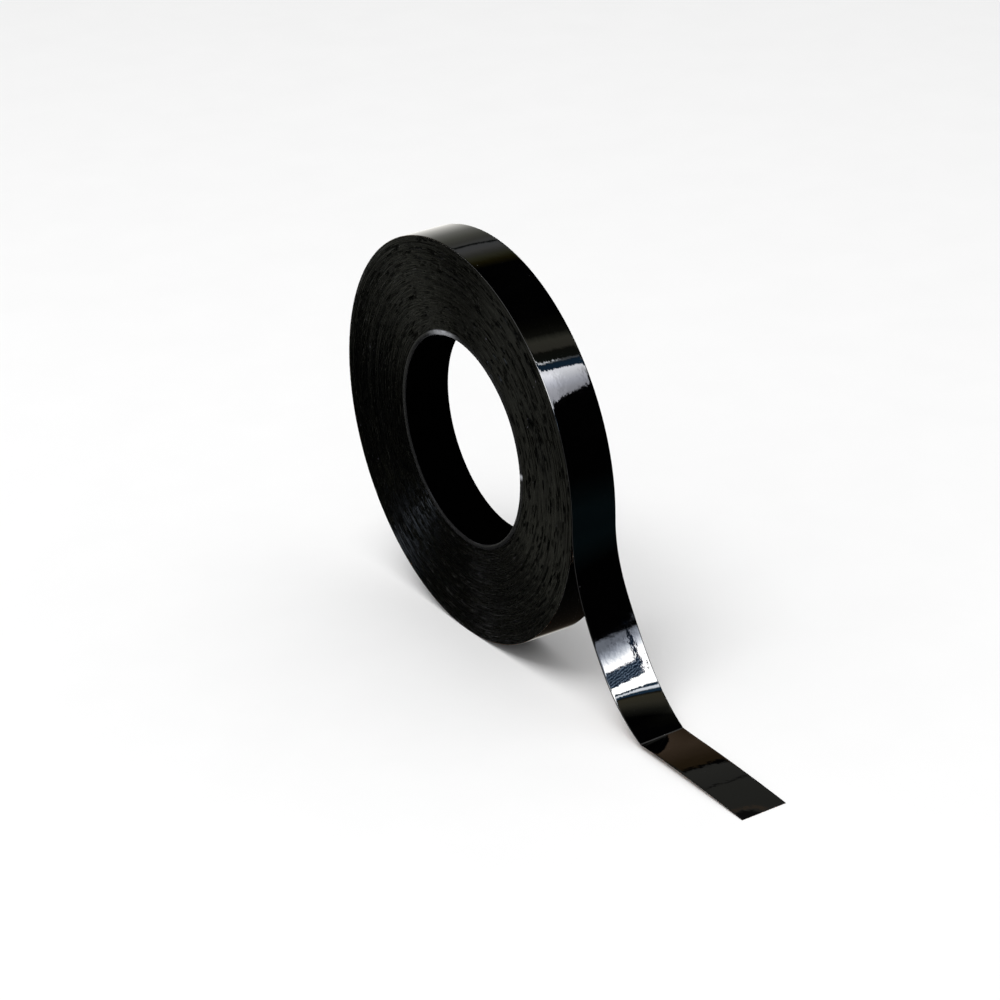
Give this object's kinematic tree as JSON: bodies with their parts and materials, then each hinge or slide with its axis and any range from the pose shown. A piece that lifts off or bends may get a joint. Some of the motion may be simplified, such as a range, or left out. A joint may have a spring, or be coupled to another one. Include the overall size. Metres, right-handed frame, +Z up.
{
  "type": "copper foil tape roll",
  "caption": "Narrow roll of black-faced copper foil tape on a thin tubular core, standing on its rim, with a loose tail that ends in a creased flat tab.",
  "frame": {"origin": "on the roll's axis, halfway across the width of the outermost turn", "axes": "+Y along the roll's axis, away from the dished front face; +X towards the loose tail; +Z up, so the roll stands on its rim at -Z"},
  "size_m": [0.1199, 0.0104, 0.0742],
  "materials": {
    "core_plastic": "satin moulded",
    "wound_edges": "slit tape edges, fine concentric turns",
    "black_film": "mirror gloss",
    "copper_foil": "bright rolled copper",
    "adhesive": "tacky, slightly glossy"
  },
  "bodies": {
    "roll": {"core_ring": "core_plastic", "wound_pack": "wound_edges", "outer_turn_film": "black_film", "outer_turn_foil": "copper_foil", "outer_turn_adhesive": "adhesive"},
    "tail": {"tail_film": "black_film", "tail_foil": "copper_foil", "tail_adhesive": "adhesive"},
    "tab": {"tab_film": "black_film", "tab_foil": "copper_foil", "tab_adhesive": "adhesive"}
  },
  "joints": [
    {"name": "peel_bend", "type": "hinge", "parent": "roll", "child": "tail", "pos_m": [0.03693, 0, -0.00323], "axis": [0, -1, 0], "range_deg": [0, 90]},
    {"name": "crease_fold", "type": "hinge", "parent": "tail", "child": "tab", "pos_m": [0.05467, 0, -0.03604], "axis": [0, -1, 0], "range_deg": [-28, 90]}
  ]
}
